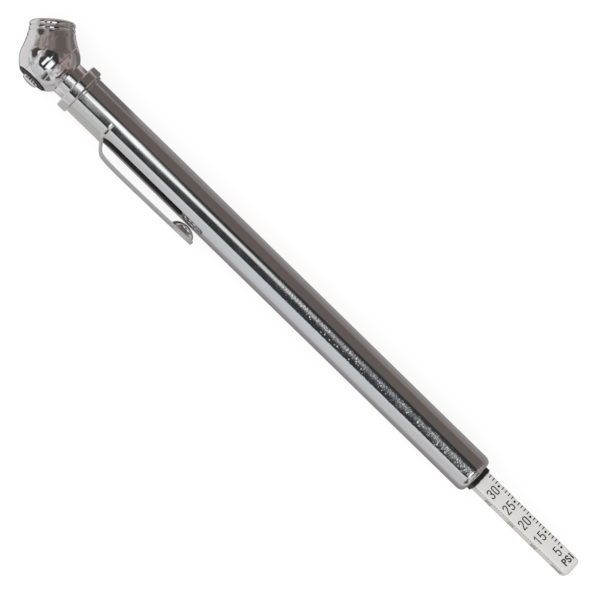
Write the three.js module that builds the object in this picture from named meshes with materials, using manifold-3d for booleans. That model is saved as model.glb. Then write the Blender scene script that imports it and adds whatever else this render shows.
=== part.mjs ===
// A pencil tyre pressure gauge, built from the pieces that it comes apart into.
//
// Pressed onto a tyre valve, the ball head lets air into the barrel, where it drives a cupped piston against
// a long spring. The piston pushes a square scale bar out of the tail. When the head is taken off the valve
// the bar stays where it was pushed to, held by the drag ring, and the reading is taken at the bush.
//
// Millimetres. The barrel lies along +x, from the head to the tail. The nozzle leans towards +y, the pocket
// clip is on the -y side, and +z is up. The gauge is drawn with the centre of the ball at the origin, and
// the last lines move that point so that the origin is at the middle of the underside of the whole gauge.
import * as THREE from "three";
import { mergeVertices } from "three/addons/utils/BufferGeometryUtils.js";
import Module from "manifold-3d";

const wasm = await Module();
wasm.setup();

// ---- driving dimensions ----

const ROUND = 40; // sides of a turned piece that shows
const HIDDEN_ROUND = 24; // sides of a hidden turned piece, or of a small one
const DEGREE = Math.PI / 180;

// barrel
const BARREL_R = 5.1;
const BARREL_WALL = 0.5;
const BARREL_START = 11.7; // x of the open end, behind the clip's eye
const BARREL_END = 141.2; // x of the rolled lip at the tail
const LIP_LENGTH = 1.8; // length of the rounded shoulder
const LIP_R = 4.05; // outer radius where the shoulder ends
const LIP_HOLE_R = 3.9;
const BORE_R = BARREL_R - BARREL_WALL;

// ball head
const BALL_R = 7.3;
const BALL_END = 5.6; // x of the face that meets the neck
const BAND_HALF = 2.5; // half the length of the ball's plain middle band
const BAND_GROOVE = 0.18; // depth of the groove at each edge of the band
const AIR_R = 1.2; // air passage

// nozzle, measured along its own axis from the ball's centre
const NOZZLE_TILT = 50.5 * DEGREE; // between the nozzle and the barrel's line
const NOZZLE_END = 9.4;
const SOCKET_R = 4.1; // takes an 8V1 tyre valve, 7.7 mm over its thread
const SEAL_GROOVE_R = 4.45;
const PLATE_SEAT = 1.5;
const PLATE_TOP = 2.1;
const SEAL_TOP = 4.1;
const PIN_TOP = 4.8;
const PIN_R = 0.55;
const CHAMBER_R = 1.8; // air chamber under the depressor plate
const FIT = 0.1; // clearance between pieces that fit in one another

// deflator stud, on the side away from the nozzle
const FLAT_Y = 5.95; // distance from the ball's centre to the flat that it stands on
const STUD_TOP = 7.35;
const STUD_HEAD_R = 2.05;
const STUD_SHANK_R = 1.2;
const WASHER_R = 3.9;
const WASHER_THICK = 0.5;

// neck, collar and the spigot that plugs into the barrel
const NECK_R = 4.45;
const COLLAR_R = 6.25;
const COLLAR_START = 8.4;
const COLLAR_END = 11.0;
const TENON_R = 3.0;
const TENON_START = 3.0;
const SPIGOT_R = BORE_R - FIT;
const SPIGOT_END = 17.7;
const GASKET_START = 13.4;
const GASKET_END = 14.6;
const GASKET_R = 3.9;

// pocket clip
const CLIP_SHEET = 0.45; // sheet thickness
const CLIP_WIDTH = 5.0;
const EYE_R = 5.45;
const SADDLE_R = BARREL_R + 0.06; // inner radius of the saddle that hugs the barrel
const SADDLE_HALF_ANGLE = 78 * DEGREE;
const SADDLE_END = 21.6;
const ARM_START = 21.9;
const ARM_LIFT = 7.92; // distance of the arm's middle from the barrel's axis, where it is furthest out
const ARM_TIP_LIFT = 7.6;
const ARM_END = 54.3;
const BOWL_X = 50.7; // the pressed bowl that bears on the barrel
const BOWL_HALF_LENGTH = 3.3;
const BOWL_HALF_WIDTH = 2.1;

// scale bar and its bush
const BAR_SIDE = 4.8;
const BAR_CORNER = 0.35;
const BAR_ROLL = -5 * DEGREE; // the square is turned this far from the clip's plane
const BAR_OUT = 30.5; // how far the bar stands out of the bush as drawn, a reading of about 33 psi
const BAR_TIP_ROUND = 1.3;
const BUSH_FACE = 142.5;
const BUSH_START = 133.5;
const BUSH_NOSE_R = 3.8;
const BUSH_SHOULDER = 139.7;
const BUSH_HOLE = BAR_SIDE + 2 * FIT;
const DRAG_START = 131.6;
const DRAG_END = 133.4;
const DRAG_HOLE = BAR_SIDE + FIT;
const SEAT_START = 130.8;
const SEAT_END = 131.5;
const SEAT_HOLE_R = 3.4;

// piston, as drawn, 29.6 mm down the barrel from its place at no pressure
const PISTON_R = BORE_R - 0.15;
const CUP_START = 49.5;
const CUP_FLOOR = 51.9;
const CUP_END = 52.7;
const CUP_LIP = 0.55;
const PISTON_START = 52.75;
const PISTON_FLANGE_END = 54.2;
const PISTON_END = 60.2;
const PISTON_BOSS_R = 3.3;
const SCREW_R = 0.8;
const FOOT_START = PISTON_END + 0.1;
const FOOT_END = 63.2;
const FOOT_R = 3.6;

// spring
const SPRING_WIRE = 0.5;
const SPRING_R = 4.05; // to the middle of the wire
const SPRING_TURNS = 20;
const SPRING_STEPS_A_TURN = 10;

// ---- materials ----

const finish = (color, roughness, metalness) =>
  new THREE.MeshStandardMaterial({ color, roughness, metalness });
const CHROME = finish(0xcfcdcc, 0.12, 1);
const STEEL = finish(0x9a9a98, 0.35, 1);
const BRASS = finish(0xb9974e, 0.35, 1);
const BLACK_RUBBER = finish(0x171616, 0.8, 0);
const BLACK_PLASTIC = finish(0x121113, 0.4, 0);
const WHITE_NYLON = finish(0xdedcd8, 0.45, 0);

// ---- making solids ----

// A piece turned about x. Its [x, radius] points run up the outside, from low x to high x.
function turned(points, sides = HIDDEN_ROUND) {
  const profile = points.map(([x, r]) => new THREE.Vector2(r, x));
  return new THREE.LatheGeometry(profile, sides).rotateZ(-Math.PI / 2);
}

// A turned piece with a hole, whose outline is closed back to its first point.
const turnedRing = (points, sides) => turned([...points, points[0]], sides);

// A plain washer or sleeve.
const sleeve = (x0, x1, outer, inner, sides) =>
  turnedRing([[x0, inner], [x0, outer], [x1, outer], [x1, inner]], sides);

// A plain rod along x.
const rod = (x0, x1, r) => turned([[x0, 0], [x0, r], [x1, r], [x1, 0]]);

// Turns a round piece by half a side about its own axis, so that a flat and not an edge lies at the bottom.
// The gauge lies on the widest part of its head and on the barrel's tail, and doesn't roll.
const flatDown = (geometry) => geometry.rotateX(Math.PI / ROUND);

// Points on a quarter ellipse, from one [x, radius] point to another.
function quarter([x0, r0], [x1, r1], steps) {
  const points = [];
  for (let i = 0; i <= steps; i += 1) {
    const angle = (i / steps) * (Math.PI / 2);
    points.push([x0 + (x1 - x0) * Math.sin(angle), r1 + (r0 - r1) * Math.cos(angle)]);
  }
  return points;
}

// A closed geometry as a solid that can be cut and joined.
function solid(geometry) {
  const plain = geometry.clone();
  plain.deleteAttribute("normal");
  plain.deleteAttribute("uv");
  const merged = mergeVertices(plain, 1e-4);
  return new wasm.Manifold(
    new wasm.Mesh({
      numProp: 3,
      vertProperties: merged.attributes.position.array,
      triVerts: new Uint32Array(merged.index.array),
    }),
  );
}

// The geometry of a solid.
function shaped(manifold) {
  const mesh = manifold.getMesh();
  const geometry = new THREE.BufferGeometry();
  geometry.setAttribute("position", new THREE.BufferAttribute(mesh.vertProperties, 3));
  geometry.setIndex(new THREE.BufferAttribute(mesh.triVerts, 1));
  geometry.computeVertexNormals();
  return geometry;
}

// A flat outline in y and z, drawn out along x.
function prismX(outline, x0, x1, curveSegments) {
  const geometry = new THREE.ExtrudeGeometry(outline, {
    depth: x1 - x0,
    bevelEnabled: false,
    curveSegments,
  });
  const turn = new THREE.Matrix4().makeBasis(
    new THREE.Vector3(0, 1, 0),
    new THREE.Vector3(0, 0, 1),
    new THREE.Vector3(1, 0, 0),
  );
  return geometry.applyMatrix4(turn).translate(x0, 0, 0);
}

// A square with rounded corners.
function roundedSquare(side, corner) {
  const h = side / 2;
  const c = h - corner;
  const outline = new THREE.Shape();
  outline.absarc(c, c, corner, 0, Math.PI / 2);
  outline.absarc(-c, c, corner, Math.PI / 2, Math.PI);
  outline.absarc(-c, -c, corner, Math.PI, 1.5 * Math.PI);
  outline.absarc(c, -c, corner, 1.5 * Math.PI, 2 * Math.PI);
  return outline;
}

// A square rod with rounded corners, turned to stand as the scale bar does.
const squareRod = (side, x0, x1) =>
  solid(prismX(roundedSquare(side, BAR_CORNER), x0, x1, 3).rotateX(BAR_ROLL));

// ---- head ----

// Turns a piece drawn about x so that it points along the nozzle.
const alongNozzle = (geometry) => geometry.rotateZ(Math.PI - NOZZLE_TILT);

// The ball, with a shallow groove at each edge of its middle band.
function ball() {
  const steps = 12;
  const first = -Math.PI / 2;
  const last = Math.asin(BALL_END / BALL_R);
  const points = [];
  for (let i = 0; i <= steps; i += 1) {
    const angle = first + ((last - first) * i) / steps;
    points.push([BALL_R * Math.sin(angle), i === 0 ? 0 : BALL_R * Math.cos(angle)]);
  }
  return solid(turned([...points, [BALL_END, 0]], ROUND));
}

function bandGroove(x) {
  const outside = BALL_R + 1;
  const edge = Math.sqrt(BALL_R ** 2 - x ** 2);
  const half = BAND_GROOVE * 1.2;
  const ring = [[x + half, outside], [x + half, edge + 0.05], [x, edge - BAND_GROOVE], [x - half, edge + 0.05]];
  return solid(turnedRing([...ring, [x - half, outside]], ROUND));
}

// The nozzle flares into the ball and has a rib and a rounded rim.
function nozzle() {
  const root = [[-1.5, 0], [-1.5, 7.1], [-0.6, 7.42], [1.1, 7.42]];
  const flare = [[2.1, 7.15], [3.2, 6.65], [4.4, 6.2], [5.4, 5.9], [6.6, 5.66]];
  const rib = [[6.85, 5.4], [7.1, 5.5], [7.7, 5.52], [8.0, 5.3]];
  const rim = [[8.3, 5.45], [8.8, 5.5], [9.15, 5.3], [NOZZLE_END, 4.95], [NOZZLE_END, 0]];
  return solid(alongNozzle(flatDown(turned([...root, ...flare, ...rib, ...rim], ROUND))));
}

// The valve socket, the seal's groove, the plate's seat and the air chamber, in one cut.
function socketCut() {
  const seat = [[-1, 0], [-1, CHAMBER_R], [PLATE_SEAT, CHAMBER_R], [PLATE_SEAT, SOCKET_R - FIT]];
  const groove = [[PLATE_TOP, SOCKET_R - FIT], [PLATE_TOP, SEAL_GROOVE_R], [SEAL_TOP + FIT, SEAL_GROOVE_R]];
  const mouth = [
    [SEAL_TOP + FIT, SOCKET_R],
    [NOZZLE_END - 0.4, SOCKET_R],
    [NOZZLE_END + 0.4, SOCKET_R + 0.8],
    [NOZZLE_END + 0.4, 0],
  ];
  return solid(alongNozzle(turned([...seat, ...groove, ...mouth])));
}

// Turns a piece drawn about x so that it points out along the deflator stud.
const alongStud = (geometry) => geometry.rotateZ(-Math.PI / 2);

function chuckHead() {
  const slab = new THREE.BoxGeometry(20, 10, 20).translate(0, -FLAT_Y - 5, 0);
  const neckFace = new THREE.BoxGeometry(10, 20, 20).translate(BALL_END + 5, 0, 0);
  return shaped(
    ball()
      .subtract(bandGroove(-BAND_HALF))
      .subtract(bandGroove(BAND_HALF))
      .add(nozzle())
      .subtract(solid(slab))
      .subtract(solid(neckFace))
      .subtract(socketCut())
      .subtract(solid(rod(0, BALL_END + 1, AIR_R)))
      .subtract(solid(rod(TENON_START - FIT, BALL_END + 1, TENON_R + FIT)))
      .subtract(solid(alongStud(rod(3, FLAT_Y + 1, STUD_SHANK_R + FIT)))),
  );
}

const nozzleSeal = () => sleeve(PLATE_TOP + 0.05, SEAL_TOP, SEAL_GROOVE_R - FIT, 1.9);

function depressorPlate() {
  const disc = solid(sleeve(PLATE_SEAT + 0.05, PLATE_TOP, SOCKET_R - 2 * FIT, PIN_R + 0.05));
  const airHoles = [0, 1, 2].map((i) => {
    const hole = rod(0, PLATE_TOP + 1, 0.35).translate(0, 1.25, 0);
    return solid(hole.rotateX((i * 2 * Math.PI) / 3));
  });
  return shaped(airHoles.reduce((left, hole) => left.subtract(hole), disc));
}

// The pin is riveted through the plate and stands up through the seal.
const depressorPin = () =>
  turned([
    [0.9, 0], [0.9, 0.8], [1.45, 0.8], [1.45, PIN_R], [PIN_TOP - 0.2, PIN_R], [PIN_TOP, PIN_R - 0.2], [PIN_TOP, 0],
  ]);

function deflatorStud() {
  const under = FLAT_Y + WASHER_THICK + 0.07;
  const dome = quarter([under + 0.35, STUD_HEAD_R], [STUD_TOP, 0], 4);
  return turned([[3.1, 0], [3.1, STUD_SHANK_R], [under, STUD_SHANK_R], [under, STUD_HEAD_R], ...dome]);
}

const deflatorWasher = () =>
  sleeve(FLAT_Y + 0.03, FLAT_Y + 0.03 + WASHER_THICK, WASHER_R, STUD_SHANK_R + FIT);

// ---- neck and collar ----

function stemCollar() {
  const chamfer = 0.35;
  const outline = [
    [TENON_START, AIR_R],
    [TENON_START, TENON_R],
    [BALL_END, TENON_R],
    [BALL_END, NECK_R],
    [COLLAR_START, NECK_R],
    [COLLAR_START, COLLAR_R - chamfer],
    [COLLAR_START + chamfer, COLLAR_R],
    [COLLAR_END - chamfer, COLLAR_R],
    [COLLAR_END, COLLAR_R - chamfer],
    [COLLAR_END, SPIGOT_R],
    [GASKET_START - 0.05, SPIGOT_R],
    [GASKET_START - 0.05, GASKET_R - 0.05],
    [GASKET_END + 0.05, GASKET_R - 0.05],
    [GASKET_END + 0.05, SPIGOT_R],
    [SPIGOT_END, SPIGOT_R],
    [SPIGOT_END, AIR_R],
  ];
  return turnedRing(outline, ROUND);
}

const barrelGasket = () => sleeve(GASKET_START, GASKET_END, BORE_R - 0.03, GASKET_R);

// ---- barrel and pocket clip ----

function barrel() {
  const shoulder = quarter([BARREL_END - LIP_LENGTH, BARREL_R], [BARREL_END, LIP_R], 5);
  const mouth = [[BARREL_START, BORE_R], [BARREL_START, BARREL_R]];
  const lip = [[BARREL_END, LIP_HOLE_R], [BUSH_SHOULDER + 0.7, LIP_HOLE_R], [BUSH_SHOULDER + 0.2, BORE_R]];
  return flatDown(turnedRing([...mouth, ...shoulder, ...lip], ROUND));
}

// The eye is trapped between collar and barrel, and the saddle behind it hugs the barrel.
function pocketClipBand() {
  const eyeStart = COLLAR_END + 0.05;
  const middle = Math.PI; // the outline's angle is from +y, and the clip is on the -y side
  const outer = SADDLE_R + CLIP_SHEET;
  const saddle = new THREE.Shape();
  saddle.absarc(0, 0, outer, middle - SADDLE_HALF_ANGLE, middle + SADDLE_HALF_ANGLE, false);
  saddle.absarc(0, 0, SADDLE_R, middle + SADDLE_HALF_ANGLE, middle - SADDLE_HALF_ANGLE, true);
  const plate = prismX(saddle, eyeStart, SADDLE_END, 20);
  const eye = sleeve(eyeStart, BARREL_START - 0.05, EYE_R, SPIGOT_R + FIT, ROUND);
  return shaped(solid(plate).add(solid(eye)));
}

// The line that the arm's sheet follows in side view, from the saddle to the tip.
const ARM_LINE = [
  [ARM_START, -5.4],
  [23.1, -6.75],
  [24.15, -7.42],
  [25.6, -7.72],
  [28.8, -ARM_LIFT],
  [34, -ARM_LIFT],
  [ARM_END, -ARM_TIP_LIFT],
];

// A strip of sheet that follows a line in x and y, with its width along z.
function bentStrip(line, thickness, width) {
  const normalAt = (i) => {
    const before = new THREE.Vector2(...line[Math.max(i - 1, 0)]);
    const after = new THREE.Vector2(...line[Math.min(i + 1, line.length - 1)]);
    const along = after.sub(before).normalize();
    return new THREE.Vector2(-along.y, along.x);
  };
  const side = (sign) =>
    line.map(([x, y], i) =>
      new THREE.Vector2(x, y).addScaledVector(normalAt(i), (sign * thickness) / 2),
    );
  const outline = new THREE.Shape([...side(-1), ...side(1).reverse()]);
  const geometry = new THREE.ExtrudeGeometry(outline, { depth: width, bevelEnabled: false });
  return geometry.translate(0, 0, -width / 2);
}

function pocketClipArm() {
  const tipY = -ARM_TIP_LIFT - 0.04;
  const depth = ARM_TIP_LIFT - SADDLE_R;
  const bowl = (shrink) => {
    const egg = new THREE.SphereGeometry(1, 20, 12);
    egg.scale(BOWL_HALF_LENGTH - shrink, depth - shrink, BOWL_HALF_WIDTH - shrink);
    return solid(egg.translate(BOWL_X, tipY, 0));
  };
  const outside = new THREE.BoxGeometry(20, 10, 20).translate(BOWL_X, tipY - 5, 0);
  const shell = bowl(0).subtract(solid(outside));
  const strip = solid(bentStrip(ARM_LINE, CLIP_SHEET, CLIP_WIDTH));
  return shaped(strip.add(shell).subtract(bowl(CLIP_SHEET)));
}

// ---- tail ----

function endBush() {
  const chamfer = 0.2;
  const body = turned([
    [BUSH_START, 0],
    [BUSH_START, BORE_R - FIT],
    [BUSH_SHOULDER, BORE_R - FIT],
    [BUSH_SHOULDER + 0.5, BUSH_NOSE_R],
    [BUSH_FACE - chamfer, BUSH_NOSE_R],
    [BUSH_FACE, BUSH_NOSE_R - chamfer],
    [BUSH_FACE, 0],
  ]);
  return shaped(solid(body).subtract(squareRod(BUSH_HOLE, BUSH_START - 1, BUSH_FACE + 1)));
}

function dragRing() {
  const disc = rod(DRAG_START, DRAG_END, BORE_R - 0.05);
  return shaped(solid(disc).subtract(squareRod(DRAG_HOLE, DRAG_START - 1, DRAG_END + 1)));
}

const springSeat = () => sleeve(SEAT_START, SEAT_END, BORE_R - FIT, SEAT_HOLE_R);

// ---- scale bar ----

function indicatorBar() {
  const tip = BUSH_FACE + BAR_OUT;
  const start = FOOT_START + 0.6;
  const corner = BAR_SIDE * 0.75;
  const rounding = turned([
    [start - 1, 0],
    [start - 1, corner],
    ...quarter([tip - BAR_TIP_ROUND, corner], [tip, BAR_SIDE * 0.38], 4),
    [tip, 0],
  ]);
  return shaped(squareRod(BAR_SIDE, start, tip).intersect(solid(rounding)));
}

// A cap pressed over the bar's inner end, too wide to leave by the spring seat.
function indicatorFoot() {
  const cap = rod(FOOT_START, FOOT_END, FOOT_R);
  const socket = squareRod(BAR_SIDE + FIT, FOOT_START + 0.55, FOOT_END + 1);
  return shaped(solid(cap).subtract(socket));
}

// ---- piston ----

// A rubber cup washer, open towards the air.
const pistonCup = () =>
  turnedRing([
    [CUP_FLOOR, SCREW_R + FIT],
    [CUP_FLOOR, PISTON_R - CUP_LIP],
    [CUP_START, PISTON_R - CUP_LIP * 0.6],
    [CUP_START, PISTON_R],
    [CUP_END, PISTON_R],
    [CUP_END, SCREW_R + FIT],
  ]);

const cupSpreader = () => sleeve(CUP_FLOOR - 0.7, CUP_FLOOR - 0.05, 3.6, SCREW_R + FIT);

const pistonBody = () =>
  turned([
    [PISTON_START + 5.3, 0],
    [PISTON_START + 5.3, SCREW_R + 0.05],
    [PISTON_START, SCREW_R + 0.05],
    [PISTON_START, PISTON_R - 0.1],
    [PISTON_FLANGE_END, PISTON_R - 0.1],
    [PISTON_FLANGE_END, PISTON_BOSS_R],
    [PISTON_END - 0.4, PISTON_BOSS_R],
    [PISTON_END, PISTON_BOSS_R - 0.4],
    [PISTON_END, 0],
  ]);

// A cheese-head screw that clamps the spreader and the cup to the piston.
function pistonScrew() {
  const underHead = CUP_FLOOR - 0.75;
  const headTop = underHead - 1;
  const body = turned([
    [headTop, 0],
    [headTop, 1.6],
    [underHead, 1.6],
    [underHead, SCREW_R],
    [PISTON_START + 5, SCREW_R],
    [PISTON_START + 5, 0],
  ]);
  const slot = new THREE.BoxGeometry(0.8, 0.45, 4).translate(headTop, 0, 0);
  return shaped(solid(body).subtract(solid(slot)));
}

// ---- spring ----

class Helix extends THREE.Curve {
  getPoint(t, target = new THREE.Vector3()) {
    const angle = 2 * Math.PI * SPRING_TURNS * t;
    const start = PISTON_FLANGE_END + SPRING_WIRE / 2 + 0.1;
    const end = SEAT_START - SPRING_WIRE / 2 - 0.1;
    return target.set(
      start + (end - start) * t,
      SPRING_R * Math.cos(angle),
      SPRING_R * Math.sin(angle),
    );
  }
}

function mainSpring() {
  const sides = 6;
  const wire = new THREE.Shape();
  for (let i = 0; i < sides; i += 1) {
    const angle = (2 * Math.PI * i) / sides;
    const x = (SPRING_WIRE / 2) * Math.cos(angle);
    const y = (SPRING_WIRE / 2) * Math.sin(angle);
    if (i === 0) wire.moveTo(x, y);
    else wire.lineTo(x, y);
  }
  const helix = new Helix();
  const steps = SPRING_TURNS * SPRING_STEPS_A_TURN;
  helix.arcLengthDivisions = steps;
  return new THREE.ExtrudeGeometry(wire, { steps, extrudePath: helix, bevelEnabled: false });
}

// ---- assembly ----

const gauge = new THREE.Group();

function place(name, geometry, material, parent = gauge) {
  const mesh = new THREE.Mesh(geometry, material);
  mesh.name = name;
  parent.add(mesh);
}

place("chuck_head", chuckHead(), CHROME);

const inNozzle = new THREE.Group();
inNozzle.rotation.z = Math.PI - NOZZLE_TILT;
gauge.add(inNozzle);
place("nozzle_seal", nozzleSeal(), BLACK_RUBBER, inNozzle);
place("depressor_plate", depressorPlate(), BRASS, inNozzle);
place("depressor_pin", depressorPin(), BRASS, inNozzle);

const onFlat = new THREE.Group();
onFlat.rotation.z = -Math.PI / 2;
gauge.add(onFlat);
place("deflator_stud", deflatorStud(), CHROME, onFlat);
place("deflator_washer", deflatorWasher(), BLACK_RUBBER, onFlat);

place("stem_collar", stemCollar(), CHROME);
place("barrel_gasket", barrelGasket(), BLACK_RUBBER);
place("barrel", barrel(), CHROME);
place("pocket_clip_band", pocketClipBand(), CHROME);
place("pocket_clip_arm", pocketClipArm(), CHROME);
place("end_bush", endBush(), BLACK_PLASTIC);
place("drag_ring", dragRing(), BLACK_RUBBER);
place("spring_seat", springSeat(), STEEL);
place("main_spring", mainSpring(), STEEL);
place("piston_screw", pistonScrew(), STEEL);
place("cup_spreader", cupSpreader(), BRASS);
place("piston_cup", pistonCup(), BLACK_RUBBER);
place("piston_body", pistonBody(), BRASS);
place("indicator_foot", indicatorFoot(), BRASS);
place("indicator_bar", indicatorBar(), WHITE_NYLON);

// The origin goes to the middle of the underside.
gauge.updateMatrixWorld(true);
const extent = new THREE.Box3().setFromObject(gauge, true);
const middle = extent.getCenter(new THREE.Vector3());
gauge.position.set(-middle.x, -middle.y, -extent.min.z);

export default gauge;
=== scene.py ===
"""A chromed pencil tyre pressure gauge with its scale bar out, on a pale table, seen from above.

Shapes are drawn in millimetres from the centre of the ball head, with +x down the barrel, +y to the
nozzle's side and +z up, and are moved into the frame when a mesh is made.
"""

import math

import bmesh
import bpy
import numpy as np
from mathutils import Matrix, Vector


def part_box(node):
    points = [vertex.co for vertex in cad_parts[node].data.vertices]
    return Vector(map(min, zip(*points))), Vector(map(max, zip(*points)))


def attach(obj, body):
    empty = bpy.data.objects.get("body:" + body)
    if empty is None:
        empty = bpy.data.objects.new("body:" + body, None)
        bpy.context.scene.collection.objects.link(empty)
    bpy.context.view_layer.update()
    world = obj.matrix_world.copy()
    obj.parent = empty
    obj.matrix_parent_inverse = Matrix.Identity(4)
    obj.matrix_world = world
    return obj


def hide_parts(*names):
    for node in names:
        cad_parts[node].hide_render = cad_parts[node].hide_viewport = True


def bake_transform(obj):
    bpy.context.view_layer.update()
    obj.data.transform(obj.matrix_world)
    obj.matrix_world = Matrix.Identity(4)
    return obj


MM = 0.001
DEG = math.pi / 180

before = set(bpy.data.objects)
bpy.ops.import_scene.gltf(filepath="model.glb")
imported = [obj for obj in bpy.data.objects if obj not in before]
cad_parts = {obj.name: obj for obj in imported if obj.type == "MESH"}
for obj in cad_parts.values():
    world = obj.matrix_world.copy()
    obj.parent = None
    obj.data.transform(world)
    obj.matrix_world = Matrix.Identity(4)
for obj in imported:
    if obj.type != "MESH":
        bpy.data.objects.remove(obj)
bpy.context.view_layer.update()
scene = bpy.context.scene

# ---- where things are ----

barrel_low, barrel_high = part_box("barrel")
stud_low, stud_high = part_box("deflator_stud")
AXIS_Z = (barrel_low.z + barrel_high.z) / 2
ORIGIN = Vector(((stud_low.x + stud_high.x) / 2, (barrel_low.y + barrel_high.y) / 2, AXIS_Z))


def along(node, side):
    """x of a CAD node's low (0) or high (1) end, in millimetres from the ball's centre."""
    return (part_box(node)[side].x - ORIGIN.x) / MM


BARREL_R = 5.1
BORE_R = 4.62
BARREL_START = along("barrel", 0)
BARREL_END = along("barrel", 1)
BAR_TIP = along("indicator_bar", 1)
BUSH_FACE = along("end_bush", 1)
CLIP_START = along("pocket_clip_band", 0)
CLIP_TIP = along("pocket_clip_arm", 1)

# ---- meshes ----


def make_object(name, verts, faces, material, normals=None):
    """An object from points in millimetres. normals, if given, has one for each corner of each face."""
    mesh = bpy.data.meshes.new(name)
    points = [tuple(ORIGIN + Vector(v) * MM) for v in verts]
    mesh.from_pydata(points, [], faces)
    mesh.polygons.foreach_set("use_smooth", [True] * len(mesh.polygons))
    if normals is not None:
        mesh.normals_split_custom_set(normals)
    mesh.materials.append(material)
    obj = bpy.data.objects.new(name, mesh)
    scene.collection.objects.link(obj)
    return obj


def unit(v):
    v = np.asarray(v, float)
    return v / max(np.linalg.norm(v), 1e-12)


class Outline:
    """A profile of (x, radius) points with the normal at both ends of each of its lines.

    It runs up the outside towards +x and back along the inside. A corner given with a third number is
    rounded to that radius.
    """

    ARC_STEP = 9 * DEG

    def __init__(self, corners=()):
        self.points = []
        self.normals = []
        if corners:
            self.add(corners)

    def add(self, corners):
        """Adds straight lines between corners, rounding those that have a radius."""
        pts = [np.array(c[:2], float) for c in corners]
        radii = [c[2] if len(c) > 2 else 0 for c in corners]
        for i, (p, fillet) in enumerate(zip(pts, radii)):
            if fillet and 0 < i < len(pts) - 1:
                self._arc(pts[i - 1], p, pts[i + 1], fillet)
            else:
                self._line_to(p)
        return self

    def curve(self, pts):
        """Adds a smooth curve through samples that are already close together."""
        pts = [np.array(p, float) for p in pts]
        slopes = np.gradient(np.array(pts), axis=0)
        ends = [unit((-s[1], s[0])) for s in slopes]
        self._line_to(pts[0])
        for i in range(1, len(pts)):
            self.points.append(pts[i])
            self.normals.append((ends[i - 1], ends[i]))
        return self

    def _line_to(self, p):
        if self.points:
            d = p - self.points[-1]
            if np.linalg.norm(d) < 1e-6:
                return
            n = unit((-d[1], d[0]))
            self.normals.append((n, n))
        self.points.append(p)

    def _arc(self, before, corner, after, radius):
        a = unit(before - corner)
        b = unit(after - corner)
        half = math.acos(np.clip(a @ b, -1, 1)) / 2
        cut = radius / math.tan(half)
        centre = corner + unit(a + b) * radius / math.sin(half)
        start = unit(corner + a * cut - centre)
        end = unit(corner + b * cut - centre)
        sweep = math.acos(np.clip(start @ end, -1, 1))
        turn = np.sign(start[0] * end[1] - start[1] * end[0])
        outward = 1 if turn < 0 else -1
        self._line_to(centre + start * radius)
        steps = max(2, math.ceil(sweep / self.ARC_STEP))
        last = start
        for k in range(1, steps + 1):
            angle = turn * sweep * k / steps
            c, s = math.cos(angle), math.sin(angle)
            now = np.array((c * start[0] - s * start[1], s * start[0] + c * start[1]))
            self.points.append(centre + now * radius)
            self.normals.append((last * outward, now * outward))
            last = now


def lathe(name, outline, material, sides=160, turn=None):
    """Turns an outline about x. turn, if given, maps (n, 3) points to where the piece points."""
    verts, faces, normals = lathe_data(outline, sides, turn)
    return make_object(name, verts, faces, material, normals)


def lathe_data(outline, sides, turn=None):
    """Points, faces and corner normals of an outline turned about x."""
    pts = outline.points
    around = [2 * math.pi * k / sides for k in range(sides)]
    ring = np.array([(math.cos(a), math.sin(a)) for a in around])
    verts = []
    index = []
    for x, r in pts:
        if r < 1e-6:
            index.append([len(verts)] * sides)
            verts.append((x, 0, 0))
        else:
            index.append(list(range(len(verts), len(verts) + sides)))
            verts.extend((x, r * c, r * s) for c, s in ring)
    faces, normals = [], []
    for i in range(len(pts) - 1):
        (ax, ar), (bx, br) = outline.normals[i]
        for k in range(sides):
            j = (k + 1) % sides
            corners = [(index[i][k], ax, ar, k), (index[i + 1][k], bx, br, k)]
            corners += [(index[i + 1][j], bx, br, j), (index[i][j], ax, ar, j)]
            kept = [c for n, c in enumerate(corners) if c[0] not in [d[0] for d in corners[:n]]]
            if len(kept) < 3:
                continue
            kept.reverse()
            faces.append([c[0] for c in kept])
            normals.extend((nx, nr * ring[m][0], nr * ring[m][1]) for _, nx, nr, m in kept)
    verts = np.array(verts)
    normals = np.array(normals)
    if turn is not None:
        verts = turn(verts)
        normals = turn(normals)
    return verts, faces, normals


def spun(angle):
    """Turns points about z, so that a piece drawn about x points at that angle from +x."""
    c, s = math.cos(angle), math.sin(angle)
    matrix = np.array(((c, s, 0), (-s, c, 0), (0, 0, 1)))
    return lambda points: np.asarray(points) @ matrix


def spline(pts, step):
    """Points about step apart on a smooth curve through pts."""
    pts = [np.array(p, float) for p in pts]
    padded = [2 * pts[0] - pts[1], *pts, 2 * pts[-1] - pts[-2]]
    out = [pts[0]]
    for a, b, c, d in zip(padded, padded[1:], padded[2:], padded[3:]):
        n = max(2, math.ceil(np.linalg.norm(c - b) / step))
        for k in range(1, n + 1):
            t = k / n
            out.append(
                0.5 * (2 * b + (c - a) * t + (2 * a - 5 * b + 4 * c - d) * t**2
                       + (3 * b - a - 3 * c + d) * t**3)
            )
    return out


def joined(name, *objects):
    """Several objects as one."""
    bpy.ops.object.select_all(action="DESELECT")
    for o in objects:
        o.select_set(True)
    bpy.context.view_layer.objects.active = objects[0]
    bpy.ops.object.join()
    objects[0].name = name
    return objects[0]


# ---- materials ----


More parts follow.
